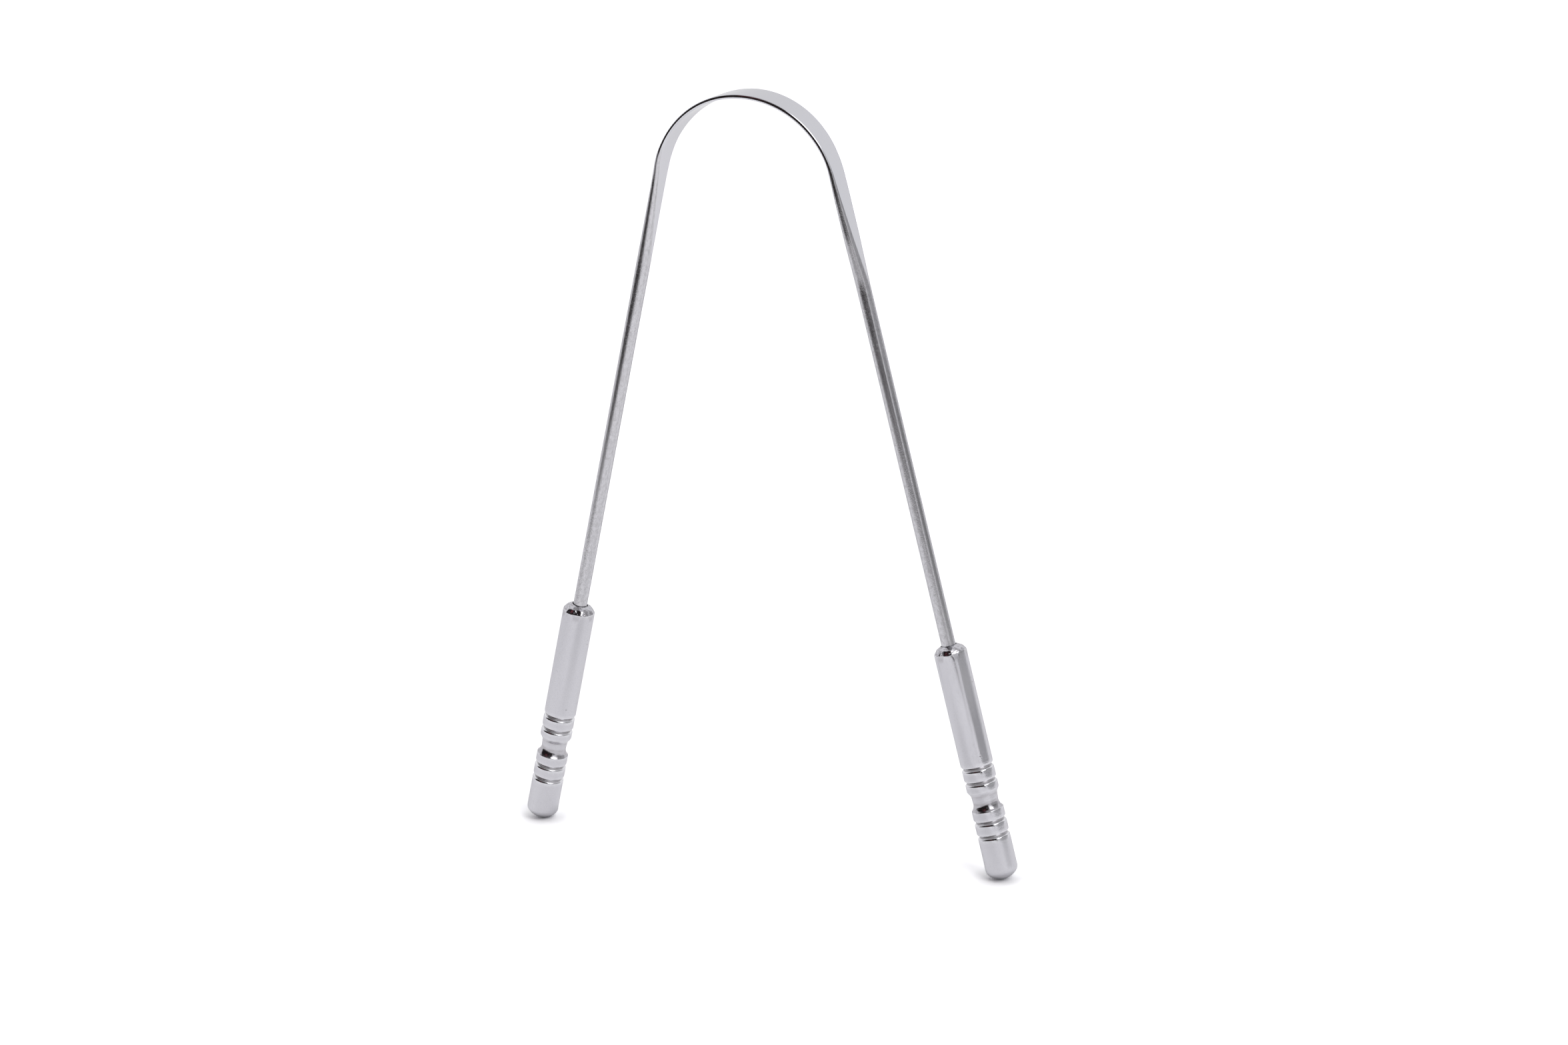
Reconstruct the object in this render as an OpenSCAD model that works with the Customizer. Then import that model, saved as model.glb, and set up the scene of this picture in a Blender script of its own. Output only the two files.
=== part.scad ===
// Tongue scraper: a bow of round steel wire, pressed flat over its middle to make the
// scraping strip, with a turned grip crimped on each end. It stands on the two grips:
// +Z is up, the bow lies in the XZ plane, +Y points to the back, and the origin is on
// the ground midway between the feet. Lengths are in millimetres, angles in degrees.

/* [Bow] */
// Height from the ground to the top of the scraping strip
overall_height = 141; // [132:1:150]
// Distance between the points where the two feet meet the ground
foot_spread = 93; // [84:1:102]
// Radius of the arch, to the middle of the strip's thickness
arch_radius = 17.6; // [16:0.1:19]
// Diameter of the round wire
wire_d = 2.6; // [2.4:0.05:2.9]

/* [Scraping strip] */
// Overall width of the strip at the top of the arch
strip_w = 7.5; // [6.8:0.1:8.4]
// Thickness of the strip
strip_t = 0.75; // [0.6:0.05:0.9]
// Length along the wire, from the top of the arch to each end of the springy middle
spring_half_l = 12; // [10:0.5:14]

/* [Left arm, lengths along the wire from the top of the arch] */
// Where the arm begins to thicken
left_thick_l = 19; // [17:0.5:21]
// Where its flats begin to narrow faster
left_shoulder_l = 20.5; // [18:0.5:23]
// Width of its flats there
left_shoulder_w = 5; // [4.6:0.1:5.6]
// Where its flats begin their last stretch
left_knee_l = 25.5; // [24:0.5:32]
// Width of its flats there
left_knee_w = 3.4; // [2.8:0.1:4]
// Where its flats end and the wire is round
left_flat_l = 42.5; // [38:0.5:47]

/* [Right arm, lengths along the wire from the top of the arch] */
// Where the arm begins to thicken
right_thick_l = 20.5; // [18:0.5:24]
// Where its flats begin to narrow faster
right_shoulder_l = 27.5; // [23:0.5:31]
// Width of its flats there
right_shoulder_w = 4; // [3.7:0.1:4.6]
// Where its flats begin their last stretch
right_knee_l = 35; // [32:0.5:38]
// Width of its flats there
right_knee_w = 2.6; // [2:0.1:3]
// Where its flats end and the wire is round
right_flat_l = 43.5; // [41:0.5:48]

/* [Grip] */
// Diameter of the bar that each grip is turned from
grip_d = 6; // [5.6:0.1:6.6]
// Length of a grip along its axis
grip_l = 44.2; // [40:0.1:48]
// Height of the tapered top of a grip
top_h = 1.3; // [1.2:0.1:1.6]
// Height of the top's shoulder above the bar
top_shoulder_h = 0.75; // [0.6:0.05:0.9]
// How far the top has come in at its shoulder, on the radius
top_shoulder_in = 0.55; // [0.45:0.05:0.7]
// Radius of the crowned foot
crown_r = 3.45; // [3.4:0.05:4]
// Length of the plain end piece, from the foot to its upper edge
end_l = 8.2; // [7:0.1:9.5]
// Distance from the upper edge of one ring to that of the next
ring_pitch = 2.65; // [2.5:0.05:2.9]
// The same distance for the ring below the waist
crest_ring_l = 2.45; // [2.3:0.05:2.8]
// Length of the waist between the two middle rings
waist_l = 3.7; // [3.4:0.1:4.2]
// Diameter of the waist at its narrowest
waist_d = 4.65; // [4.4:0.05:4.9]
// Length of the flare from the waist out to the ring below it
flare_l = 1.35; // [1.1:0.05:1.6]
// Length of the ring above the waist
collar_l = 1.35; // [1.1:0.05:1.6]
// Depth of the grooves between the rings
groove_depth = 0.45; // [0.35:0.01:0.5]
// Length of the slope above a groove
groove_slope_l = 0.5; // [0.4:0.05:0.7]
// Length of the step below a groove
groove_step_l = 0.2; // [0.1:0.05:0.35]
// Length of the narrow floor of a groove
groove_floor_l = 0.1; // [0.05:0.01:0.15]
// How much smaller the rings are than the bar, on the radius
ring_relief = 0.04; // [0.02:0.01:0.08]

/* [Crimp and bore] */
// Number of crimp flats round the top of a grip
crimp_count = 6; // [5:1:8]
// Depth of a crimp flat at the top edge of the bar
crimp_depth = 0.14; // [0.08:0.01:0.18]
// Length of a crimp flat
crimp_l = 1.4; // [1:0.1:1.8]
// Depth of the flats that the crimping tool leaves below the top's shoulder
top_flat_depth = 0.09; // [0.05:0.01:0.12]
// Depth of the blind bore that holds the wire
bore_l = 12; // [9:0.5:15]
// Gap round the wire in the bore, on the radius
bore_gap = 0.015; // [0.01:0.005:0.03]
// Gap round the wire at the mouth of the bore, on the radius
mouth_gap = 0.16; // [0.1:0.01:0.22]
// Depth of the wider mouth of the bore
mouth_l = 0.9; // [0.6:0.1:1.2]

/* [Hidden] */
$fn = 96;

// One value for all cuts that run past a face
overrun = 0.5;
// Spacing of the cross-sections along the flattened wire
section_step = 1;
// Straight sides that make up each rounded edge of a cross-section
edge_sides = 12;
// How far the strip's edges bulge, as a share of half its thickness
edge_bulge_share = 0.6;
// How far the end of the taper stands proud of the round wire, on the radius
taper_proud = 0.03;
// How far the round wire reaches up into the end of the taper
wire_seat_l = 0.1;
// Angle of the point that the drill leaves at the bottom of the bore
drill_point = 118;
// Turn of the crimp flats round the grip
crimp_turn = 12;
// Length of the slope from the collar down to the waist
waist_slope_l = 0.85;
// Where the waist's upper end lies, as a share of the way from its narrowest out to the bar
waist_top_share = 0.16;

wire_r = wire_d / 2;
grip_r = grip_d / 2;
ring_r = grip_r - ring_relief;
waist_r = waist_d / 2;
waist_top_r = waist_r + waist_top_share * (grip_r - waist_r);

// The arch's centre, and the lean of the two straight arms
arch_z = overall_height - strip_t / 2 - arch_radius;
foot_x = foot_spread / 2;
foot_to_arch = norm([foot_x, arch_z - crown_r]);
arm_lean = atan(foot_x / (arch_z - crown_r)) - asin(arch_radius / foot_to_arch);
arch_sweep = 90 - arm_lean;
arch_half_l = arch_radius * arch_sweep * PI / 180;
arch_end = [arch_radius * sin(arch_sweep), arch_z + arch_radius * cos(arch_sweep)];
// Length of a straight arm's axis, from the end of the arch to the foot's lowest point on that axis
arm_l = sqrt(foot_to_arch ^ 2 - arch_radius ^ 2) + crown_r;
foot = arch_end + arm_l * [sin(arm_lean), -cos(arm_lean)];

// Heights along a grip, from its foot
rim_z = grip_l - top_h;
lower_ring_z = end_l + ring_pitch;
crest_z = lower_ring_z + crest_ring_l;
flare_z = crest_z + flare_l;
waist_top_z = crest_z + waist_l;
collar_z = waist_top_z + collar_l;
upper_ring_z = collar_z + ring_pitch;
groove_l = groove_step_l + groove_floor_l + groove_slope_l;
plain_z = upper_ring_z + groove_l;
bore_z = grip_l - bore_l;
bore_r = wire_r + bore_gap;
mouth_r = wire_r + mouth_gap;
top_angle = atan(top_shoulder_in / top_shoulder_h);

// Each arm's measures: start of thickening, shoulder, flats there, knee, flats there, end of the flats
function taper(s) = s < 0
    ? [left_thick_l, left_shoulder_l, left_shoulder_w, left_knee_l, left_knee_w, left_flat_l]
    : [right_thick_l, right_shoulder_l, right_shoulder_w, right_knee_l, right_knee_w, right_flat_l];

// How far the wire has thickened at length s from the top: 0 on the strip, 1 where it is round
function thickening(s, t) = max(0, min(1, (abs(s) - t[0]) / (t[5] - t[0])));
function thickness(s, t) = strip_t + (wire_d + 2 * taper_proud - strip_t) * thickening(s, t);
function bulge(s, t) =
    thickness(s, t) / 2 * (edge_bulge_share + (1 - edge_bulge_share) * thickening(s, t));

// Width of the flat faces at length s, in straight stretches
function flat_w(s, t) =
    lookup(abs(s), [[0, strip_w - strip_t * edge_bulge_share], [t[1], t[2]], [t[3], t[4]], [t[5], 0]]);

// A rounded edge: an arc through the two creases, standing proud of them by the bulge
function edge_points(half_t, half_w, proud, side) =
    let (r = (half_t ^ 2 + proud ^ 2) / (2 * proud),
         a = asin(min(1, half_t / r)))
    [for (i = [0 : edge_sides])
        let (u = side * a * (1 - 2 * i / edge_sides))
        [r * sin(u), side * (half_w + proud - r * (1 - cos(u)))]];

// A cross-section as [outwards, back] pairs, going once round
function section(s, t) = concat(
    edge_points(thickness(s, t) / 2, flat_w(s, t) / 2, bulge(s, t), 1),
    edge_points(thickness(s, t) / 2, flat_w(s, t) / 2, bulge(s, t), -1));

// The wire's middle line at length s from the top, negative to the left, and its outward direction
function turn_at(s) = sign(s) * min(abs(s) / arch_radius * 180 / PI, arch_sweep);
function wire_at(s) = abs(s) <= arch_half_l
    ? [arch_radius * sin(turn_at(s)), arch_z + arch_radius * cos(turn_at(s))]
    : [sign(s) * (arch_end.x + (abs(s) - arch_half_l) * sin(arm_lean)),
       arch_end.y - (abs(s) - arch_half_l) * cos(arm_lean)];
function place(s, pts) =
    let (c = wire_at(s), a = turn_at(s))
    [for (p = pts) [c.x + p.x * sin(a), p.y, c.y + p.x * cos(a)]];

// A closed skin over a list of rings that all have the same number of points
module skin(rings) {
    n = len(rings[0]);
    last = len(rings) - 1;
    points = [for (ring = rings) each ring];
    sides = [for (i = [0 : last - 1], j = [0 : n - 1])
        let (a = i * n + j, b = i * n + (j + 1) % n)
        each [[a, b, b + n], [a, b + n, a + n]]];
    start = [[for (j = [n - 1 : -1 : 0]) j]];
    end = [[for (j = [0 : n - 1]) last * n + j]];
    polyhedron(points, concat(sides, start, end));
}

// Evenly spaced lengths along the wire, about a section_step apart
function stations(from, to) =
    let (n = ceil((to - from) / section_step))
    [for (i = [0 : n]) from + (to - from) * i / n];

// Puts a grip's own frame, foot at zero and axis up, on the right arm
module on_right_arm() {
    translate([foot.x, 0, foot.y])
        rotate([0, -arm_lean, 0])
            children();
}

// The springy middle of the bow
module scraping_strip() {
    color("#cfd0d6")
        skin([for (s = stations(-spring_half_l, spring_half_l))
            place(s, section(s, taper(s)))]);
}

// One arm: the flattened wire as far as it tapers, then the round wire down into the grip.
// It is made on the right, with the measures of its own side.
module arm(t) {
    skin([for (s = stations(spring_half_l, t[5])) place(s, section(s, t))]);
    on_right_arm()
        translate([0, 0, bore_z])
            cylinder(r = wire_r, h = arm_l - (t[5] - arch_half_l) + wire_seat_l - bore_z);
}

module left_arm() {
    color("#b9bac1")
        mirror([1, 0, 0])
            arm(taper(-1));
}

module right_arm() {
    color("#b9bac1")
        arm(taper(1));
}

// Outline of one groove, cut inwards: a step up from the lower ring's edge, a narrow floor and a slope
module groove_cut(z) {
    floor_r = ring_r - groove_depth;
    polygon([
        [ring_r, z],
        [floor_r, z + groove_step_l],
        [floor_r, z + groove_step_l + groove_floor_l],
        [grip_r, z + groove_l],
        [grip_r + overrun, z + groove_l],
        [grip_r + overrun, z]]);
}

// Outline of the waist: a slope below the collar, a narrow stretch, then a hollow flare down to the crest.
// The flare is an arc that starts along the axis and ends on the crest.
module waist_cut() {
    flare_h = ring_r - waist_r;
    flare_r = (flare_l ^ 2 + flare_h ^ 2) / (2 * flare_h);
    difference() {
        polygon([
            [ring_r, waist_top_z],
            [waist_top_r, waist_top_z - waist_slope_l],
            [waist_r, flare_z],
            [waist_r, crest_z],
            [grip_r + overrun, crest_z],
            [grip_r + overrun, waist_top_z]]);
        difference() {
            translate([waist_r - overrun, crest_z - overrun])
                square([flare_h + overrun, flare_l + overrun]);
            translate([waist_r + flare_r, flare_z])
                circle(r = flare_r);
        }
    }
}

// Half outline of a grip, foot at zero
module grip_outline() {
    difference() {
        intersection() {
            polygon([
                [0, 0],
                [grip_r, 0],
                [grip_r, rim_z],
                [grip_r - top_shoulder_in, rim_z + top_shoulder_h],
                [mouth_r, grip_l],
                [0, grip_l]]);
            union() {
                translate([0, crown_r])
                    circle(r = crown_r);
                translate([0, crown_r])
                    square([grip_r, grip_l]);
            }
        }
        translate([ring_r, 0])
            square([ring_relief + overrun, plain_z - groove_slope_l / 2]);
        for (z = [end_l, lower_ring_z, collar_z, upper_ring_z])
            groove_cut(z);
        waist_cut();
        translate([0, bore_z])
            square([bore_r, bore_l + overrun]);
        polygon([
            [0, bore_z],
            [bore_r, bore_z],
            [0, bore_z - bore_r / tan(drill_point / 2)]]);
        translate([0, grip_l - mouth_l])
            square([mouth_r, mouth_l + overrun]);
    }
}

// A turned grip with its crimp flats
module grip() {
    slab = grip_d;
    difference() {
        rotate_extrude()
            grip_outline();
        for (i = [0 : crimp_count - 1])
            rotate([0, 0, crimp_turn + i * 360 / crimp_count]) {
                translate([grip_r - crimp_depth, -slab / 2, rim_z])
                    rotate([0, -atan(crimp_depth / crimp_l), 0])
                        translate([0, 0, -crimp_l - overrun])
                            cube([slab, slab, crimp_l + top_h + overrun]);
                translate([grip_r - top_flat_depth / cos(top_angle), -slab / 2, rim_z])
                    rotate([0, -top_angle, 0])
                        translate([0, 0, -top_h])
                            cube(slab);
            }
    }
}

module left_grip() {
    color("#c6c7cd")
        mirror([1, 0, 0])
            on_right_arm()
                grip();
}

module right_grip() {
    color("#c6c7cd")
        on_right_arm()
            grip();
}

scraping_strip();
left_arm();
right_arm();
left_grip();
right_grip();
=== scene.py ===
"""Tongue scraper: a bow of steel wire, pressed flat over its middle, with a turned grip on each end.

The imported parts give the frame. This script draws every surface of the bow and the grips in full,
gives each its finish, and sets up a plain white studio with the photograph's camera.
Lengths are in metres unless a name says otherwise, and the axes are those of the frame: the bow
stands in the XZ plane, +Z is up and +Y points to the back.
"""

import logging
import math
from collections.abc import Iterable
from dataclasses import dataclass, field
from enum import Enum

import bpy
import numpy as np
from mathutils import Matrix, Vector


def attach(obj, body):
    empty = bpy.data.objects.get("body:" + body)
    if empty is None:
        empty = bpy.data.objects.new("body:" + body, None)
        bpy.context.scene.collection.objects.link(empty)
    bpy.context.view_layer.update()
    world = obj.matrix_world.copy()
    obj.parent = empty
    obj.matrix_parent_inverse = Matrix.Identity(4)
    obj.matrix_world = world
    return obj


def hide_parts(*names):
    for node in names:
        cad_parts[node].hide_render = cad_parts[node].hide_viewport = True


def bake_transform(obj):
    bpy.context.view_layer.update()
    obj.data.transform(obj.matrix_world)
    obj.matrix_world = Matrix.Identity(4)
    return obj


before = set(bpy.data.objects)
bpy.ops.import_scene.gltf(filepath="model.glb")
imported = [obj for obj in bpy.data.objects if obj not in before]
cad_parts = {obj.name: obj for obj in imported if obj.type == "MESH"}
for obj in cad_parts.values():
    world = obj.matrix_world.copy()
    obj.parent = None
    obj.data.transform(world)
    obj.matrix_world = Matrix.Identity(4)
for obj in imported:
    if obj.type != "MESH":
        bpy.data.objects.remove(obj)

LOG = logging.getLogger("tongue_scraper")
MM = 0.001

Array = np.ndarray
Socket = bpy.types.NodeSocket
Value = Socket | float
Span = tuple[float, float]
Point = tuple[float, float, float]
Corner = tuple[float, float, float]
Colour = tuple[float, float, float]
Cover = tuple[float, float, float, float]

WHITE: Colour = (1.0, 1.0, 1.0)
GREY: Colour = (0.50, 0.50, 0.51)
DARK: Colour = (0.022, 0.017, 0.017)
DARK_RED: Colour = (0.22, 0.07, 0.08)


class Side(Enum):
    """Which half of the bow a piece belongs to. The value is the sign of its x."""

    LEFT = -1
    RIGHT = 1

    @property
    def word(self) -> str:
        """The side's name, as the frame's nodes and bodies write it."""
        return self.name.lower()


@dataclass(frozen=True)
class Taper:
    """How one arm runs from the thin strip into round wire. Places are lengths from the top.

    Attributes:
        thick_l: Where the arm begins to thicken.
        shoulder_l: Where its flats begin to narrow faster.
        shoulder_w: Width of its flats there.
        knee_l: Where its flats begin their last stretch.
        knee_w: Width of its flats there.
        flat_l: Where its flats end and the wire is round.
    """

    thick_l: float
    shoulder_l: float
    shoulder_w: float
    knee_l: float
    knee_w: float
    flat_l: float


@dataclass(frozen=True)
class BowSizes:
    """Sizes of the bow: a round arch on two straight arms that lean inwards.

    Attributes:
        height: From the ground to the top of the strip.
        foot_spread: Between the points where the feet meet the ground.
        arch_r: Radius of the arch, to the middle of the strip's thickness.
        wire_d: Diameter of the round wire.
        strip_w: Overall width of the strip at the top.
        strip_t: Thickness of the strip.
        bulge_share: How far the edges bulge, as a share of half the thickness.
        crease_r: Radius of the crease between a flat and a rounded edge.
        ease_l: Length over which the taper's corners are eased.
        crown_r: Radius of a grip's crowned foot, which the arm's lean is worked out to.
        tapers: The two arms' tapers.
    """

    height: float = 141 * MM
    foot_spread: float = 93 * MM
    arch_r: float = 17.6 * MM
    wire_d: float = 2.6 * MM
    strip_w: float = 7.5 * MM
    strip_t: float = 0.75 * MM
    bulge_share: float = 0.6
    crease_r: float = 0.07 * MM
    ease_l: float = 1.2 * MM
    crown_r: float = 3.45 * MM
    tapers: dict[Side, Taper] = field(default_factory=lambda: {
        Side.LEFT: Taper(19 * MM, 20.5 * MM, 5 * MM, 25.5 * MM, 3.4 * MM, 42.5 * MM),
        Side.RIGHT: Taper(20.5 * MM, 27.5 * MM, 4 * MM, 35 * MM, 2.6 * MM, 43.5 * MM),
    })

    @property
    def arch_z(self) -> float:
        """Height of the arch's centre."""
        return self.height - self.strip_t / 2 - self.arch_r

    @property
    def lean(self) -> float:
        """Lean of an arm from upright: the tangent from its foot's crown to the arch."""
        across = self.foot_spread / 2
        down = self.arch_z - self.crown_r
        return math.atan2(across, down) - math.asin(self.arch_r / math.hypot(across, down))

    @property
    def arch_half_l(self) -> float:
        """Length along the wire from the top to the end of the arch."""
        return self.arch_r * (math.pi / 2 - self.lean)

    @property
    def arch_end(self) -> tuple[float, float]:
        """x and z of the arch's right end."""
        return self.arch_r * math.cos(self.lean), self.arch_z + self.arch_r * math.sin(self.lean)

    @property
    def arm_l(self) -> float:
        """Length of an arm's axis from the end of the arch to the tip of its foot."""
        across = self.foot_spread / 2
        down = self.arch_z - self.crown_r
        return math.sqrt(across**2 + down**2 - self.arch_r**2) + self.crown_r

    @property
    def foot(self) -> tuple[float, float]:
        """x and z of the right foot's tip, on the grip's axis."""
        x, z = self.arch_end
        return x + self.arm_l * math.sin(self.lean), z - self.arm_l * math.cos(self.lean)


@dataclass(frozen=True)
class GripSizes:
    """Sizes of a turned grip. Heights run along its axis from the tip of its foot.

    Attributes:
        bar_r: Radius of the bar it is turned from.
        length: Its whole length.
        top_h: Height of its tapered top.
        top_shoulder_h: Height of the top's shoulder above the bar.
        top_shoulder_in: How far the top has come in at its shoulder.
        crown_r: Radius of the crowned foot.
        crown_blend_r: Radius that blends the crown into the side.
        end_l: Length of the plain end piece.
        ring_pitch: From the upper edge of one ring to that of the next.
        crest_ring_l: The same for the ring below the waist.
        waist_l: Length of the waist.
        waist_r: Radius of the waist at its narrowest.
        flare_l: Length of the flare from the waist down to the crest.
        waist_slope_l: Length of the slope from the collar down to the waist.
        waist_top_share: Where the waist's upper end lies, between its narrowest and the bar.
        collar_l: Length of the ring above the waist.
        groove_depth: Depth of the grooves.
        groove_slope_l: Length of the slope above a groove.
        groove_step_l: Length of the step below a groove.
        groove_floor_l: Length of a groove's narrow floor.
        ring_relief: How much smaller the rings are than the bar, on the radius.
        bore_l: Depth of the blind bore.
        bore_r: Radius of the bore.
        mouth_r: Radius of the bore's mouth.
        mouth_l: Depth of the bore's mouth.
        drill_point: Height of the point that the drill leaves.
        crimp_l: Length of a crimp flat.
        crimp_depth: Depth of a crimp flat at the rim.
        top_flat_depth: Depth of the flats below the top's shoulder.
        crimp_turn: Turn of the first crimp flat, for the right grip.
        crimp_shares: One share of the full depth for each crimp flat.
        groove_rounds: Rounding radii of a groove's four corners, from the ring upwards.
        waist_rounds: The same at the crest, at the waist's upper end and at the collar.
        top_rounds: The same at the rim, at the top's shoulder and at the bore's mouth.
    """

    bar_r: float = 3 * MM
    length: float = 44.2 * MM
    top_h: float = 1.3 * MM
    top_shoulder_h: float = 0.75 * MM
    top_shoulder_in: float = 0.55 * MM
    crown_r: float = 3.45 * MM
    crown_blend_r: float = 1.3 * MM
    end_l: float = 8.2 * MM
    ring_pitch: float = 2.65 * MM
    crest_ring_l: float = 2.45 * MM
    waist_l: float = 3.7 * MM
    waist_r: float = 2.325 * MM
    flare_l: float = 1.35 * MM
    waist_slope_l: float = 0.85 * MM
    waist_top_share: float = 0.16
    collar_l: float = 1.35 * MM
    groove_depth: float = 0.45 * MM
    groove_slope_l: float = 0.5 * MM
    groove_step_l: float = 0.2 * MM
    groove_floor_l: float = 0.1 * MM
    ring_relief: float = 0.04 * MM
    bore_l: float = 12 * MM
    bore_r: float = 1.315 * MM
    mouth_r: float = 1.46 * MM
    mouth_l: float = 0.9 * MM
    drill_point: float = 0.79 * MM
    crimp_l: float = 1.4 * MM
    crimp_depth: float = 0.14 * MM
    top_flat_depth: float = 0.09 * MM
    crimp_turn: float = math.radians(12)
    crimp_shares: tuple[float, ...] = (0.95, 0.7, 1.0, 0.8, 1.0, 0.75)
    groove_rounds: tuple[float, ...] = (0.38 * MM, 0.04 * MM, 0.06 * MM, 0.3 * MM)
    waist_rounds: tuple[float, ...] = (0.25 * MM, 0.1 * MM, 0.25 * MM)
    top_rounds: tuple[float, ...] = (0.5 * MM, 0.9 * MM, 0.05 * MM)

    @property
    def ring_r(self) -> float:
        """Radius of the rings."""
        return self.bar_r - self.ring_relief

    @property
    def rim_z(self) -> float:
        """Height of the edge between the bar and the tapered top."""
        return self.length - self.top_h


def eased(places: Array, knots: list[float], values: list[float], ease: float, samples: int = 9) -> Array:
    """A line through knots with its corners eased, as the mean of the line over a short window.

    Args:
        places: Where to read the line.
        knots: Places of its corners.
        values: Its values there.
        ease: Half the window's length.
        samples: Readings that make up the mean.

    Returns:
        The eased value at each place.
    """
    window = np.linspace(-ease, ease, samples)
    return np.mean([np.interp(places + shift, knots, values) for shift in window], axis=0)


def rounded(corners: list[Corner], steps: int = 5, give: float = 0.6) -> Array:
    """An outline with rounded corners.

    At a corner of turn a, an arc of radius r starts r * tan(a / 2) before the corner. It is cut
    short where a neighbouring side has less than its share to give.

    Args:
        corners: x, y and rounding radius of each corner. The first and last stay sharp.
        steps: Straight sides that make up each rounding.
        give: Share of a side that one rounding may take.

    Returns:
        The outline's points, one row each.
    """
    least_turn = 1e-3
    points = [corners[0][:2]]
    for before, here, after in zip(corners, corners[1:], corners[2:]):
        at = np.array(here[:2])
        back, ahead = np.array(before[:2]) - at, np.array(after[:2]) - at
        room = give * min(np.linalg.norm(back), np.linalg.norm(ahead))
        back, ahead = back / np.linalg.norm(back), ahead / np.linalg.norm(ahead)
        turn = math.pi - math.acos(float(np.clip(back @ ahead, -1, 1)))
        if here[2] <= 0 or turn < least_turn:
            points.append(here[:2])
            continue
        reach = min(here[2] * math.tan(turn / 2), room)
        start, end = at + back * reach, at + ahead * reach
        u = np.linspace(0, 1, steps + 1)[:, None]
        pull = 2 * math.cos(turn / 2) * u * (1 - u)
        arc = ((1 - u)**2 * start + pull * at + u**2 * end) / ((1 - u)**2 + pull + u**2)
        points.extend(map(tuple, arc))
    points.append(corners[-1][:2])
    return np.array(points)


def divided(outline: Array, longest: float, fine_from: float, fine: float) -> Array:
    """Splits an outline's long sides into shorter ones.

    Args:
        outline: Points, one row each, with the height in the second column.
        longest: The longest side that may stay.
        fine_from: Height above which the finer limit holds.
        fine: The longest side that may stay there.

    Returns:
        The outline with the points put in between.
    """
    rows = [outline[:1]]
    for a, b in zip(outline, outline[1:]):
        limit = fine if min(a[1], b[1]) >= fine_from else longest
        count = max(1, math.ceil(float(np.linalg.norm(b - a)) / limit))
        rows.append(a + (b - a) * (np.arange(1, count + 1) / count)[:, None])
    return np.concatenate(rows)


def skin(name: str, rings: Array, ends: Array, values: dict[str, Array],
         sharp_ends: bool) -> bpy.types.Object:
    """A closed surface over a grid of rings, with a fan to one point at each end.

    Args:
        name: Name of the object and its mesh.
        rings: Points of the rings, as rings by points by 3, each going round the same way.
        ends: The two points that close the first and the last ring.
        values: Attributes as rings by points, or by 3 more. The end points take their ring's mean.
        sharp_ends: Whether the first and last ring are sharp edges.

    Returns:
        The object, at the origin and shaded smooth.
    """
    count, around = rings.shape[:2]
    first, last = count * around, count * around + 1
    grid = np.arange(count * around).reshape(count, around)
    ahead = np.roll(grid, -1, axis=1)
    quads = np.stack([grid[:-1], ahead[:-1], ahead[1:], grid[1:]], axis=-1).reshape(-1, 4)
    starts = np.stack([ahead[0], grid[0], np.full(around, first)], axis=-1)
    finishes = np.stack([grid[-1], ahead[-1], np.full(around, last)], axis=-1)
    points = np.concatenate([rings.reshape(-1, 3), ends])

    mesh = bpy.data.meshes.new(name)
    mesh.from_pydata(points.tolist(), [], quads.tolist() + starts.tolist() + finishes.tolist())
    mesh.polygons.foreach_set("use_smooth", np.ones(len(mesh.polygons), dtype=bool))
    for key, grid_values in values.items():
        flat = grid_values.reshape(count * around, -1)
        means = [flat[:around].mean(axis=0), flat[-around:].mean(axis=0)]
        rows = np.concatenate([flat, means]).astype(np.float32)
        kind, target = ("FLOAT_VECTOR", "vector") if rows.shape[1] == 3 else ("FLOAT", "value")
        mesh.attributes.new(key, kind, "POINT").data.foreach_set(target, rows.ravel())
    if sharp_ends:
        pairs = np.empty(len(mesh.edges) * 2, dtype=np.int32)
        mesh.edges.foreach_get("vertices", pairs)
        pairs = pairs.reshape(-1, 2)
        sharp = (pairs < around).all(axis=1) | ((pairs >= first - around) & (pairs < first)).all(axis=1)
        mesh.attributes.new("sharp_edge", "BOOLEAN", "EDGE").data.foreach_set("value", sharp)
    mesh.update()
    piece = bpy.data.objects.new(name, mesh)
    bpy.context.scene.collection.objects.link(piece)
    return piece


@dataclass(frozen=True)
class Pattern:
    """Size of a pattern.

    Attributes:
        scale: How many of its features go to a metre, across the piece.
        stretch: How much longer than wide a feature is.
    """

    scale: float
    stretch: float


@dataclass(frozen=True)
class Mark:
    """What one kind of mark does to the steel where its mask is full.

    Attributes:
        share: How strongly it tints the steel.
        colour: Its tint.
        roughness: What it adds to the roughness.
        depth: How far it stands out or, with a minus, how deep it goes.
    """

    share: float = 0.0
    colour: Colour = (0.0, 0.0, 0.0)
    roughness: float = 0.0
    depth: float = 0.0


def rgba(colour: Colour) -> Cover:
    """A colour with full cover, as sockets want it."""
    return (*colour, 1.0)


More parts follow.
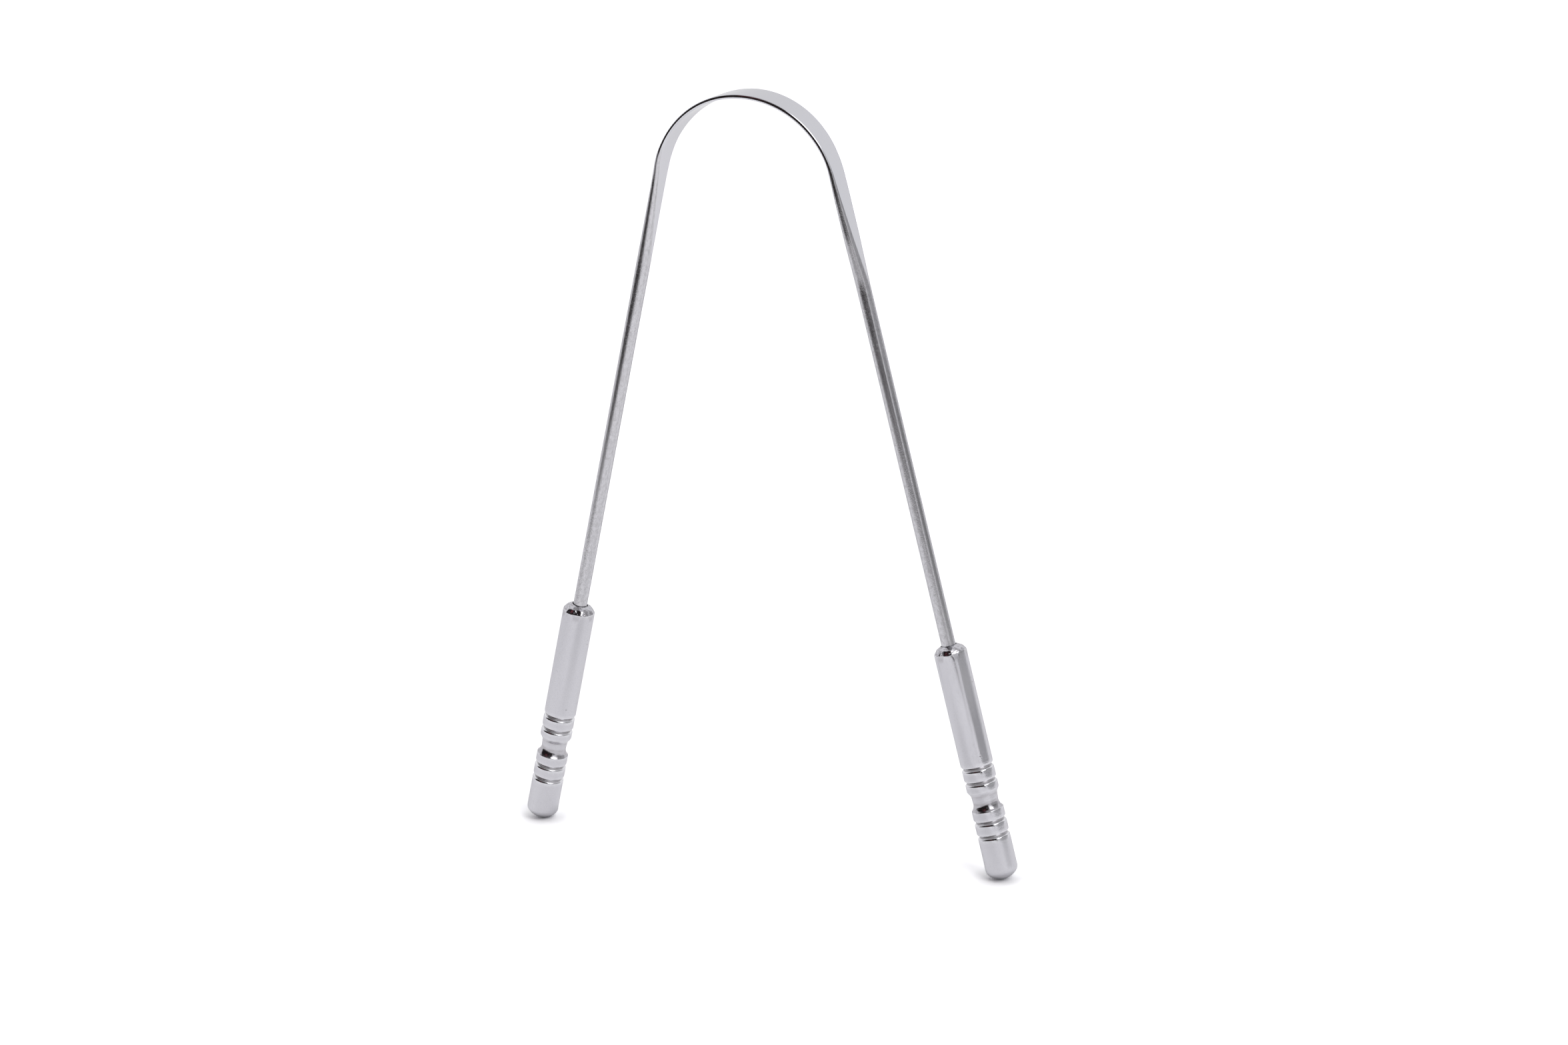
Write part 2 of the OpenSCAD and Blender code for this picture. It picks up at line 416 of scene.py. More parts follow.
class Graph:
    """Adds and joins the nodes of one material, world or node group."""

    def __init__(self, tree: bpy.types.NodeTree) -> None:
        """Works on a node tree, which is emptied first."""
        self.tree = tree
        tree.nodes.clear()

    def add(self, kind: str, inputs: dict[str | int, object] | None = None,
            **settings: object) -> bpy.types.Node:
        """Adds a node.

        Args:
            kind: Type of the node.
            inputs: Value or socket for each input, by its name or number.
            settings: The node's own settings.

        Returns:
            The node.
        """
        node = self.tree.nodes.new(kind)
        for key, value in settings.items():
            setattr(node, key, value)
        for key, value in (inputs or {}).items():
            if isinstance(value, Socket):
                self.tree.links.new(value, node.inputs[key])
            else:
                node.inputs[key].default_value = value
        return node

    def math(self, operation: str, *terms: Value, clamp: bool = False) -> Socket:
        """One sum of the Math node.

        Args:
            operation: Its operation.
            terms: Numbers or sockets.
            clamp: Whether the result is kept between 0 and 1.

        Returns:
            The result's socket.
        """
        node = self.add("ShaderNodeMath", dict(enumerate(terms)), operation=operation, use_clamp=clamp)
        return node.outputs[0]

    def times(self, a: Value, b: Value) -> Socket:
        """The product of two values."""
        return self.math("MULTIPLY", a, b)

    def plus(self, base: Value, more: Value, share: Value, clamp: bool = False) -> Socket:
        """A value plus a share of another, kept between 0 and 1 if clamp is set."""
        return self.math("MULTIPLY_ADD", more, share, base, clamp=clamp)

    def ramp(self, value: Socket, low: float, high: float, at_low: Value = 0.0,
             at_high: Value = 1.0) -> Socket:
        """Turns a value from low to high smoothly into one from at_low to at_high.

        Args:
            value: The value to turn.
            low: Where the rise starts.
            high: Where the rise ends.
            at_low: Result at and below low.
            at_high: Result at and above high.

        Returns:
            The result's socket.
        """
        node = self.add("ShaderNodeMapRange", {0: value, 1: low, 2: high, 3: at_low, 4: at_high},
                        interpolation_type="SMOOTHSTEP")
        return node.outputs[0]

    def blend(self, share: Socket, a: Value, b: Value) -> Socket:
        """The first value where the share is 0, and the second where it is 1."""
        return self.add("ShaderNodeMix", {0: share, 2: a, 3: b}, data_type="FLOAT").outputs[0]

    def tint(self, share: Value, a: Socket | Cover, b: Socket | Cover) -> Socket:
        """The first colour where the share is 0, and the second where it is 1."""
        return self.add("ShaderNodeMix", {0: share, 6: a, 7: b}, data_type="RGBA").outputs[2]

    def noise(self, place: Socket, scale: Value, detail: float = 2.0, roughness: float = 0.5) -> Socket:
        """Noise in space.

        Args:
            place: Where it is read.
            scale: Its features to a metre.
            detail: How many finer layers it has.
            roughness: How strong each of them is against the last.

        Returns:
            The noise, about 0.5.
        """
        inputs = {"Vector": place, "Scale": scale, "Detail": detail, "Roughness": roughness}
        return self.add("ShaderNodeTexNoise", inputs).outputs[0]

    def drawn_out(self, place: Socket, squeeze: Socket | Point) -> Socket:
        """A place multiplied by a vector, so that a pattern read there is drawn out."""
        return self.add("ShaderNodeVectorMath", {0: place, 1: squeeze}, operation="MULTIPLY").outputs[0]

    def lengthened(self, place: Socket, stretch: Socket) -> Socket:
        """A place squeezed along the piece, so that a pattern read there is longer than wide."""
        along = self.math("DIVIDE", 1.0, stretch)
        return self.drawn_out(place, self.add("ShaderNodeCombineXYZ", {0: 1.0, 1: 1.0, 2: along}).outputs[0])


class SteelEffects:
    """Node groups that the steel finishes share."""

    def __init__(self) -> None:
        """Builds each group once."""
        self.grain = self._grain()
        self.pits = self._pits()
        self.cloud = self._cloud()
        self.edge = self._edge()
        self.hairlines = self._hairlines()

    @staticmethod
    def _start(name: str, *numbers: str) -> tuple[Graph, dict[str, Socket]]:
        """Starts a group that reads a place and some numbers.

        Args:
            name: The group's name.
            numbers: Names of the numbers.

        Returns:
            Its graph, and the sockets of its inputs by name.
        """
        tree = bpy.data.node_groups.new(name, "ShaderNodeTree")
        graph = Graph(tree)
        tree.interface.new_socket("Place", in_out="INPUT", socket_type="NodeSocketVector")
        for key in numbers:
            tree.interface.new_socket(key, in_out="INPUT", socket_type="NodeSocketFloat")
        return graph, {socket.name: socket for socket in graph.add("NodeGroupInput").outputs if socket.name}

    @staticmethod
    def _close(graph: Graph, **results: Socket) -> bpy.types.NodeTree:
        """Closes a group.

        Args:
            graph: Its graph.
            results: Its results by name, each of which becomes an output.

        Returns:
            The group's tree.
        """
        for key in results:
            graph.tree.interface.new_socket(key, in_out="OUTPUT", socket_type="NodeSocketFloat")
        graph.add("NodeGroupOutput", results)
        return graph.tree

    def _grain(self) -> bpy.types.NodeTree:
        """Fine grain drawn out along the piece: two layers of noise, squeezed along its length."""
        graph, given = self._start("length_grain", "Scale", "Stretch")
        broad_share = 0.28
        place = graph.lengthened(given["Place"], given["Stretch"])
        fine = graph.noise(place, given["Scale"], detail=3.0, roughness=0.6)
        broad = graph.noise(place, graph.times(given["Scale"], broad_share), detail=2.0, roughness=0.55)
        return self._close(graph, Height=fine, Shade=broad)

    def _pits(self) -> bpy.types.NodeTree:
        """Scattered pits: the middles of the few cells whose random number is below the amount."""
        graph, given = self._start("pits", "Scale", "Amount")
        least_reach, more_reach, full_at = 0.06, 0.16, 0.6
        cells = graph.add("ShaderNodeTexVoronoi", {"Vector": given["Place"], "Scale": given["Scale"]})
        chosen = graph.add("ShaderNodeSeparateColor", {0: cells.outputs["Color"]})
        rare = graph.math("LESS_THAN", chosen.outputs[0], given["Amount"])
        reach = graph.plus(least_reach, chosen.outputs[1], more_reach)
        off = graph.math("DIVIDE", cells.outputs["Distance"], reach)
        depth = graph.math("SUBTRACT", 1.0, off, clamp=True)
        return self._close(graph, Mask=graph.times(rare, graph.ramp(depth, 0.0, full_at)))

    def _cloud(self) -> bpy.types.NodeTree:
        """Soft uneven polish: one layer of broad noise, drawn out along the piece."""
        graph, given = self._start("soft_cloud", "Scale", "Stretch")
        noise = graph.noise(graph.lengthened(given["Place"], given["Stretch"]), given["Scale"])
        return self._close(graph, Value=graph.ramp(noise, low=0.3, high=0.7))

    def _edge(self) -> bpy.types.NodeTree:
        """A mask broken up by noise. It places the painted highlights along edges and the painted shade in
        inner corners.
        """
        graph, given = self._start("noise_broken_mask", "Edge", "Scale")
        broken = graph.ramp(graph.noise(given["Place"], given["Scale"]), low=0.3, high=0.6, at_low=0.45)
        return self._close(graph, Mask=graph.times(given["Edge"], broken))

    def _hairlines(self) -> bpy.types.NodeTree:
        """Hairline scratches: the thin middle lines of noise that is drawn far out one way."""
        graph, given = self._start("hairlines", "Scale", "Turn")
        squeeze, middle, line_half = (1.0, 1.0, 0.06), 0.5, 0.006
        patch_share, patch_from, patch_full = 0.4, 0.5, 0.62
        turned = graph.add("ShaderNodeVectorRotate", {"Vector": given["Place"], "Angle": given["Turn"]},
                           rotation_type="X_AXIS")
        noise = graph.noise(graph.drawn_out(turned.outputs[0], squeeze), given["Scale"], detail=1.0)
        off = graph.math("ABSOLUTE", graph.math("SUBTRACT", noise, middle))
        patches = graph.noise(given["Place"], graph.times(given["Scale"], patch_share))
        lines = graph.ramp(off, 0.0, line_half, at_low=1.0, at_high=0.0)
        return self._close(graph, Mask=graph.times(lines, graph.ramp(patches, patch_from, patch_full)))


class SteelGraph(Graph):
    """The graph of one steel material, over which marks are laid one after the other."""

    def __init__(self, name: str, effects: SteelEffects) -> None:
        """Starts the material.

        Args:
            name: Its name.
            effects: The shared node groups.
        """
        self.material = bpy.data.materials.new(name)
        self.material.use_nodes = True
        super().__init__(self.material.node_tree)
        self.effects = effects
        self.place = self.add("ShaderNodeAttribute", attribute_name="own_place").outputs["Vector"]
        self.along = self.add("ShaderNodeSeparateXYZ", {0: self.place}).outputs[2]
        self.colour: Socket | Cover = rgba(WHITE)
        self.roughness: Value = 0.0
        self.height: Value = 0.0

    def share(self, name: str) -> Socket:
        """One of the mesh's shares, from 0 to 1."""
        return self.add("ShaderNodeAttribute", attribute_name=name).outputs["Fac"]

    def effect(self, group: bpy.types.NodeTree, **inputs: Value) -> list[Socket]:
        """Places a shared group, which reads the piece's own place.

        Args:
            group: The group.
            inputs: Value or socket for each of its numbers, by name.

        Returns:
            Its outputs.
        """
        return list(self.add("ShaderNodeGroup", {"Place": self.place, **inputs}, node_tree=group).outputs)

    def grain(self, size: Pattern) -> list[Socket]:
        """The fine and the broad layer of grain."""
        return self.effect(self.effects.grain, Scale=size.scale, Stretch=size.stretch)

    def cloud(self, size: Pattern) -> Socket:
        """A soft cloud."""
        return self.effect(self.effects.cloud, Scale=size.scale, Stretch=size.stretch)[0]

    def pits(self, scale: float, amount: Value) -> Socket:
        """Pits in a share of the cells."""
        return self.effect(self.effects.pits, Scale=scale, Amount=amount)[0]

    def edge(self, name: str, scale: float) -> Socket:
        """One of the mesh's shares, broken up by noise, for painted highlights on edges and painted shade in
        inner corners.
        """
        return self.effect(self.effects.edge, Edge=self.share(name), Scale=scale)[0]

    def lay(self, mask: Socket, mark: Mark) -> None:
        """Lays one kind of mark over the steel as it is so far.

        Args:
            mask: Where the marks are, from 0 to 1.
            mark: What they do there.
        """
        if mark.share:
            self.colour = self.tint(self.times(mask, mark.share), self.colour, rgba(mark.colour))
        if mark.roughness:
            self.roughness = self.plus(self.roughness, mask, mark.roughness, clamp=True)
        if mark.depth:
            self.height = self.plus(self.height, mask, mark.depth)

    def finished(self, rim_tint: float) -> bpy.types.Material:
        """Closes the material.

        Args:
            rim_tint: Share of the mirrored light that is kept at a grazing view.

        Returns:
            The material.
        """
        bump = self.add("ShaderNodeBump", {"Strength": 1.0, "Distance": 1.0, "Height": self.height})
        shader = self.add("ShaderNodeBsdfPrincipled", {
            "Base Color": self.colour, "Metallic": 1.0, "Roughness": self.roughness,
            "Normal": bump.outputs[0], "Specular Tint": rgba((rim_tint,) * 3)})
        self.add("ShaderNodeOutputMaterial", {"Surface": shader.outputs[0]})
        return self.material


@dataclass(frozen=True)
class WireFinish:
    """Finish of the bow: satin mirror on the flats, fine grain on the rounded wire.

    Attributes:
        flat_colour: Colour of the flats.
        wire_colour: Colour of the grainy wire.
        flat_roughness: Roughness of the flats.
        wire_roughness: Roughness of the wire.
        rim_tint: Share of the mirrored light that is kept at a grazing view.
        cloud_size: Size of the uneven polish.
        grain_size: Size of the grain.
        broad_share: Share of the broad layer of grain in the streaks.
        streak_span: Where in the grain a streak begins and where it is full.
        pit_scale: Cells to a metre, a few of which hold a pit.
        pit_amount: Share of the cells that hold one.
        shoulder_pits: How much that share grows at the shoulders.
        shoulder_begin: Lengths from the top over which the shoulders' pits begin.
        shoulder_end: Lengths from the top over which they end.
        pit_flatness: Shares of flatness over which pits begin, so that none notches an edge.
        line_scale: Scale of the hairlines.
        line_turn: Their turn out of the wire's direction, in radians.
        edge_scale: Breaks to a metre in the painted highlights along the creases.
        clouds: What the uneven polish does.
        streaks: What the streaks do.
        grain: What the grain does.
        pits: What a pit does.
        hairlines: What a hairline does.
        edges: What a crease does: a painted highlight that lightens the steel, and a smoother rubbed polish.
    """

    flat_colour: Colour = (0.630, 0.628, 0.661)
    wire_colour: Colour = (0.580, 0.575, 0.600)
    flat_roughness: float = 0.10
    wire_roughness: float = 0.16
    rim_tint: float = 0.82
    cloud_size: Pattern = Pattern(330.0, 3.0)
    grain_size: Pattern = Pattern(8000.0, 1.6)
    broad_share: float = 0.4
    streak_span: Span = (0.42, 0.62)
    pit_scale: float = 1300.0
    pit_amount: float = 0.012
    shoulder_pits: float = 0.10
    shoulder_begin: Span = (12 * MM, 16 * MM)
    shoulder_end: Span = (20 * MM, 25 * MM)
    pit_flatness: Span = (0.6, 0.95)
    line_scale: float = 900.0
    line_turn: float = 0.25
    edge_scale: float = 1500.0
    clouds: Mark = Mark(roughness=0.05)
    streaks: Mark = Mark(0.42, (0.33, 0.32, 0.34), roughness=0.08)
    grain: Mark = Mark(depth=0.017 * MM)
    pits: Mark = Mark(0.7, (0.22, 0.20, 0.21), depth=-0.02 * MM)
    hairlines: Mark = Mark(depth=-0.0015 * MM)
    # painted highlight: lighter steel along the creases, which are also smoother
    edges: Mark = Mark(0.5, (0.86, 0.86, 0.88), roughness=-0.06)

    def build(self, effects: SteelEffects) -> bpy.types.Material:
        """Builds the material.

        Args:
            effects: The shared node groups.

        Returns:
            The material.
        """
        graph = SteelGraph("drawn_steel_wire", effects)
        rough_part = graph.math("SUBTRACT", 1.0, graph.share("smooth_share"))
        graph.colour = graph.tint(rough_part, rgba(self.flat_colour), rgba(self.wire_colour))
        graph.roughness = graph.blend(rough_part, self.flat_roughness, self.wire_roughness)

        fine, broad = graph.grain(self.grain_size)
        mixed = graph.plus(graph.times(fine, 1 - self.broad_share), broad, self.broad_share)
        begun = graph.ramp(graph.along, *self.shoulder_begin)
        shoulder = graph.times(begun, graph.ramp(graph.along, *self.shoulder_end, at_low=1.0, at_high=0.0))
        pits = graph.pits(self.pit_scale, graph.plus(self.pit_amount, shoulder, self.shoulder_pits))
        on_flat = graph.ramp(graph.share("flat_share"), *self.pit_flatness)
        hairlines = graph.effect(effects.hairlines, Scale=self.line_scale, Turn=self.line_turn)[0]

        graph.lay(graph.cloud(self.cloud_size), self.clouds)
        graph.lay(graph.times(rough_part, graph.ramp(mixed, *self.streak_span)), self.streaks)
        graph.lay(graph.times(fine, rough_part), self.grain)
        graph.lay(graph.times(pits, on_flat), self.pits)
        graph.lay(hairlines, self.hairlines)
        # painted highlight along the creases
        graph.lay(graph.edge("edge_share", self.edge_scale), self.edges)
        return graph.finished(self.rim_tint)


@dataclass(frozen=True)
class GripFinish:
    """Finish of the grips: turned, then polished to a soft satin.

    Attributes:
        colour: Colour of the steel.
        roughness: Its roughness.
        rim_tint: Share of the mirrored light that is kept at a grazing view.
        cloud_size: Size of the uneven polish.
        wave_size: Size of the broad waves that the polishing belt leaves.
        dent_size: Size of the dents that the crimping leaves in the top.
        grit_size: Size of the blasted skin's grain.
        painted_reflection_size: Size of the dark patches painted in the top.
        line_scale: Tool marks to a metre.
        line_span: Where in their noise a tool mark begins and where it is full.
        speckle_scale: Cells to a metre of the fine speckle.
        speckle_amount: Share of the cells that hold one.
        pit_scale: Cells to a metre, a few of which hold a pit.
        pit_amount: Share of the cells that hold one.
        fleck_span: Where in the grain a dark fleck begins and where it is full.
        painted_reflection_span: Where in its cloud a dark patch begins and where it is full.
        edge_scale: Breaks to a metre in the painted highlights on the outer edges.
        corner_scale: Breaks to a metre in the painted shade of the inner corners.
        clouds: What the uneven polish does.
        lines: What a tool mark does.
        speckle: What the fine speckle does.
        dents: What the dents do.
        waves: What the waves do.
        grit: What the blasted grain does.
        flecks: What its dark flecks do.
        pits: What a pit does.
        pressed: What a crimp flat does: a painted shade that darkens it.
        painted_reflections: What the dark patches in the top do: a painted reflection.
        grooves: What the floor of a groove does: it is rougher, being left unpolished, and painted lighter, a
            painted light.
        corners: What the painted shade in an inner corner does.
        edges: What an outer edge does: a painted highlight that lightens the steel, and a smoother rubbed
            polish.
    """

    colour: Colour = (0.585, 0.580, 0.612)
    roughness: float = 0.09
    rim_tint: float = 0.82
    cloud_size: Pattern = Pattern(420.0, 8.0)
    wave_size: Pattern = Pattern(900.0, 14.0)
    dent_size: Pattern = Pattern(950.0, 1.0)
    grit_size: Pattern = Pattern(7500.0, 1.2)
    painted_reflection_size: Pattern = Pattern(1700.0, 0.6)
    line_scale: float = 7000.0
    line_span: Span = (0.35, 0.65)
    speckle_scale: float = 3600.0
    speckle_amount: float = 0.8
    pit_scale: float = 1000.0
    pit_amount: float = 0.06
    fleck_span: Span = (0.4, 0.7)
    painted_reflection_span: Span = (0.3, 0.9)
    edge_scale: float = 1500.0
    corner_scale: float = 900.0
    clouds: Mark = Mark(0.35, (0.54, 0.535, 0.57), roughness=0.07)
    lines: Mark = Mark(0.18, (0.40, 0.39, 0.41), depth=0.004 * MM)
    speckle: Mark = Mark(depth=-0.008 * MM)
    dents: Mark = Mark(depth=0.05 * MM)
    waves: Mark = Mark(depth=0.012 * MM)
    grit: Mark = Mark(depth=0.006 * MM)
    flecks: Mark = Mark(0.22, (0.36, 0.35, 0.38))
    pits: Mark = Mark(0.6, (0.25, 0.24, 0.25), depth=-0.02 * MM)
    # painted shade: the crimp flats are tinted darker
    pressed: Mark = Mark(0.55, (0.36, 0.35, 0.37))
    # painted reflection: dark brownish patches on the crimped top
    painted_reflections: Mark = Mark(0.38, (0.17, 0.14, 0.145))
    # painted light: the groove floors are tinted lighter; the extra roughness is their unpolished finish
    grooves: Mark = Mark(0.8, (0.86, 0.86, 0.88), roughness=0.24)
    # painted shade: dark tint in the inner corners of the outline
    corners: Mark = Mark(0.75, (0.16, 0.13, 0.13))
    # painted highlight: lighter steel on the outer edges, which are also smoother
    edges: Mark = Mark(0.35, (0.88, 0.88, 0.90), roughness=-0.08)

    def build(self, effects: SteelEffects) -> bpy.types.Material:
        """Builds the material.

        Args:
            effects: The shared node groups.

        Returns:
            The material.
        """
        graph = SteelGraph("turned_steel", effects)
        graph.colour = rgba(self.colour)
        graph.roughness = self.roughness
        crimped = graph.share("crimp_share")
        grit = graph.grain(self.grit_size)[0]
        turning = graph.add("ShaderNodeTexNoise", {"W": graph.along, "Scale": self.line_scale, "Detail": 2.0},
                            noise_dimensions="1D").outputs[0]
        lines = graph.times(graph.ramp(turning, *self.line_span), graph.share("turned_share"))
        # painted reflection: where the dark patches lie in the top
        painted_reflections = graph.ramp(graph.cloud(self.painted_reflection_size), *self.painted_reflection_span)

        graph.lay(graph.cloud(self.cloud_size), self.clouds)
        graph.lay(lines, self.lines)
        graph.lay(graph.pits(self.speckle_scale, self.speckle_amount), self.speckle)
        graph.lay(graph.times(graph.cloud(self.dent_size), crimped), self.dents)
        graph.lay(graph.cloud(self.wave_size), self.waves)
        graph.lay(grit, self.grit)
        graph.lay(graph.ramp(grit, *self.fleck_span), self.flecks)
        graph.lay(graph.pits(self.pit_scale, self.pit_amount), self.pits)
        # painted shade on the crimp flats
        graph.lay(graph.share("pressed_share"), self.pressed)
        graph.lay(graph.times(painted_reflections, crimped), self.painted_reflections)
        # painted light in the grooves, over their rougher floor
        graph.lay(graph.share("groove_share"), self.grooves)
        # painted shade in the inner corners
        graph.lay(graph.edge("corner_share", self.corner_scale), self.corners)
        # painted highlight on the outer edges
        graph.lay(graph.edge("edge_share", self.edge_scale), self.edges)
        return graph.finished(self.rim_tint)


@dataclass
class WireBow:
    """The bow of wire, drawn as two halves that meet at the top.

    Attributes:
        sizes: The bow's sizes.
        grip: The grips' sizes, for the depth at which the wire ends.
        finish: The bow's finish.
        flat_steps: Straight sides across a flat.
        corner_steps: Straight sides round a crease.
        edge_steps: Straight sides round a bulging edge.
        taper_step_l: Length between cross-sections as far as the taper goes.
        straight_steps: Cross-sections in the round wire beyond it.
        smooth_end_l: Length over which the mirror of the strip gives way to grain.
        flat_end_l: Length over which the flats fade out before their end.
        crease_end: Share of flatness at the outer end of a crease. The flats have 1.
        edge_highlight_at: Share of flatness where a crease's painted highlight is strongest, in the middle of
            the crease.
        edge_highlight_span: Difference in that share to where there is no painted highlight at all.
    """

    sizes: BowSizes
    grip: GripSizes
    finish: WireFinish = field(default_factory=WireFinish)
    flat_steps: int = 8
    corner_steps: int = 3
    edge_steps: int = 24
    taper_step_l: float = 0.25 * MM
    straight_steps: int = 60
    smooth_end_l: float = 2.5 * MM
    flat_end_l: float = 2 * MM
    crease_end: float = 0.5
    edge_highlight_at: float = 0.75
    edge_highlight_span: float = 0.25

    def middle_line(self, s: Array) -> tuple[Array, Array, Array]:
        """The wire's middle line: an arc of the arch's radius, then its tangent.

        Args:
            s: Lengths along the wire from the top, on the right half.

        Returns:
            x, z and the angle from upright of the outward direction, at each length.
        """
        b = self.sizes
        turn = np.minimum(s / b.arch_r, math.pi / 2 - b.lean)
        beyond = np.maximum(s - b.arch_half_l, 0)
        x = b.arch_r * np.sin(turn) + beyond * math.sin(b.lean)
        z = b.arch_z + b.arch_r * np.cos(turn) - beyond * math.cos(b.lean)
        return x, z, turn

    def section(self, s: Array, taper: Taper) -> tuple[Array, Array, Array]:
        """Cross-sections: two flats joined by bulging arcs, with every corner rounded.

        A shape smaller by the crease's radius is grown by that radius along its normals. The arc
        of an edge that stands B proud of half thickness T has radius (T^2 + B^2) / (2 B).

        Args:
            s: Lengths along the wire.
            taper: The arm's taper.

        Returns:
            Outward distance, depth (+Y) and share of flatness of each point, as lengths by points.
        """
        b = self.sizes
        thick_share = eased(s, [taper.thick_l, taper.flat_l], [0, 1], b.ease_l)
        thick = b.strip_t + (b.wire_d - b.strip_t) * thick_share
        bulge = thick / 2 * (b.bulge_share + (1 - b.bulge_share) * thick_share)
        flat = eased(s, [0, taper.shoulder_l, taper.knee_l, taper.flat_l],
                     [b.strip_w - b.strip_t * b.bulge_share, taper.shoulder_w, taper.knee_w, 0], b.ease_l) / 2

        half_t = (thick / 2 - b.crease_r)[:, None]
        proud = (bulge - b.crease_r)[:, None]
        flat = flat[:, None]
        radius = (half_t**2 + proud**2) / (2 * proud)
        start = np.arccos(np.clip(half_t / radius, 0, 1))

        corner = np.linspace(0, 1, self.corner_steps + 1)[None, :]
        opening, closing = corner[:, :-1], corner[:, 1:]
        round_edge = np.linspace(0, 1, self.edge_steps + 1)[None, :]
        ones = np.ones_like(half_t)
        turn_a = start * opening
        turn_b = start + (math.pi - 2 * start) * round_edge
        turn_c = math.pi - start * (1 - closing)
        out_a, deep_a = half_t * np.ones_like(turn_a), flat * np.ones_like(turn_a)
        out_b, deep_b = radius * np.cos(turn_b), flat + proud - radius + radius * np.sin(turn_b)
        out_c, deep_c = -half_t * np.ones_like(turn_c), flat * np.ones_like(turn_c)
        turns = np.concatenate([turn_a, turn_b, turn_c], axis=1)
        out = np.concatenate([out_a, out_b, out_c], axis=1) + b.crease_r * np.cos(turns)
        deep = np.concatenate([deep_a, deep_b, deep_c], axis=1) + b.crease_r * np.sin(turns)
        drop = 1 - self.crease_end
        even = np.concatenate([(1 - drop * opening) * ones, np.zeros_like(turn_b),
                               (self.crease_end + drop * closing) * ones], axis=1)

        across = np.linspace(1, -1, self.flat_steps + 1)[None, 1:-1]
        flat_even = ones * np.ones_like(across)
        under = -(half_t + b.crease_r) * flat_even
        return (np.concatenate([out, under, out[:, ::-1], -under], axis=1),
                np.concatenate([deep, flat * across, -deep[:, ::-1], -flat * across], axis=1),
                np.concatenate([even, flat_even, even[:, ::-1], flat_even], axis=1))

    def half(self, side: Side, material: bpy.types.Material) -> bpy.types.Object:
        """Draws one half of the bow, from the top to the end of the wire in the grip's bore.

        A point of a cross-section lies its outward distance from the middle line along the
        direction there, and its depth along Y.

        Args:
            side: Which half.
            material: The bow's material.

        Returns:
            The half, in the row frame.
        """
        b = self.sizes
        taper = b.tapers[side]
        fine_end = taper.flat_l + 2 * b.ease_l
        wire_end = b.arch_half_l + b.arm_l - (self.grip.length - self.grip.bore_l)
        s = np.concatenate([np.arange(0, fine_end, self.taper_step_l),
                            np.linspace(fine_end, wire_end, self.straight_steps)])
        out, deep, even = self.section(s, taper)
        x, z, turn = self.middle_line(s)
        rings = np.stack([side.value * (x[:, None] + out * np.sin(turn)[:, None]), deep,
                          z[:, None] + out * np.cos(turn)[:, None]], axis=-1)
        own = np.stack([out, deep, s[:, None] * np.ones_like(out)], axis=-1)
        begun = np.clip((s - taper.thick_l) / self.smooth_end_l, 0, 1)[:, None]
        has_flat = np.clip((taper.flat_l - s) / self.flat_end_l, 0, 1)[:, None]
        flat = even * has_flat
        smooth = np.maximum(1 - begun, flat)
        # the creases' share, where the finish paints a highlight
        edge = np.clip(1 - np.abs(even - self.edge_highlight_at) / self.edge_highlight_span, 0, 1) * has_flat
        if side is Side.RIGHT:
            rings, own, smooth, edge, flat = (grid[:, ::-1] for grid in (rings, own, smooth, edge, flat))
        middle = np.stack([side.value * x[[0, -1]], np.zeros(2), z[[0, -1]]], axis=-1)
        values = {"own_place": own, "smooth_share": smooth, "edge_share": edge, "flat_share": flat}
        piece = skin(f"{side.word}_bow_half", rings, middle, values, sharp_ends=True)
        piece.data.materials.append(material)
        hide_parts(f"{side.word}_arm", "scraping_strip")
        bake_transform(piece)
        return piece

    def build(self, effects: SteelEffects) -> list[bpy.types.Object]:
        """Draws both halves.

        Args:
            effects: The shared node groups.

        Returns:
            The halves.
        """
        material = self.finish.build(effects)
        return [self.half(side, material) for side in Side]


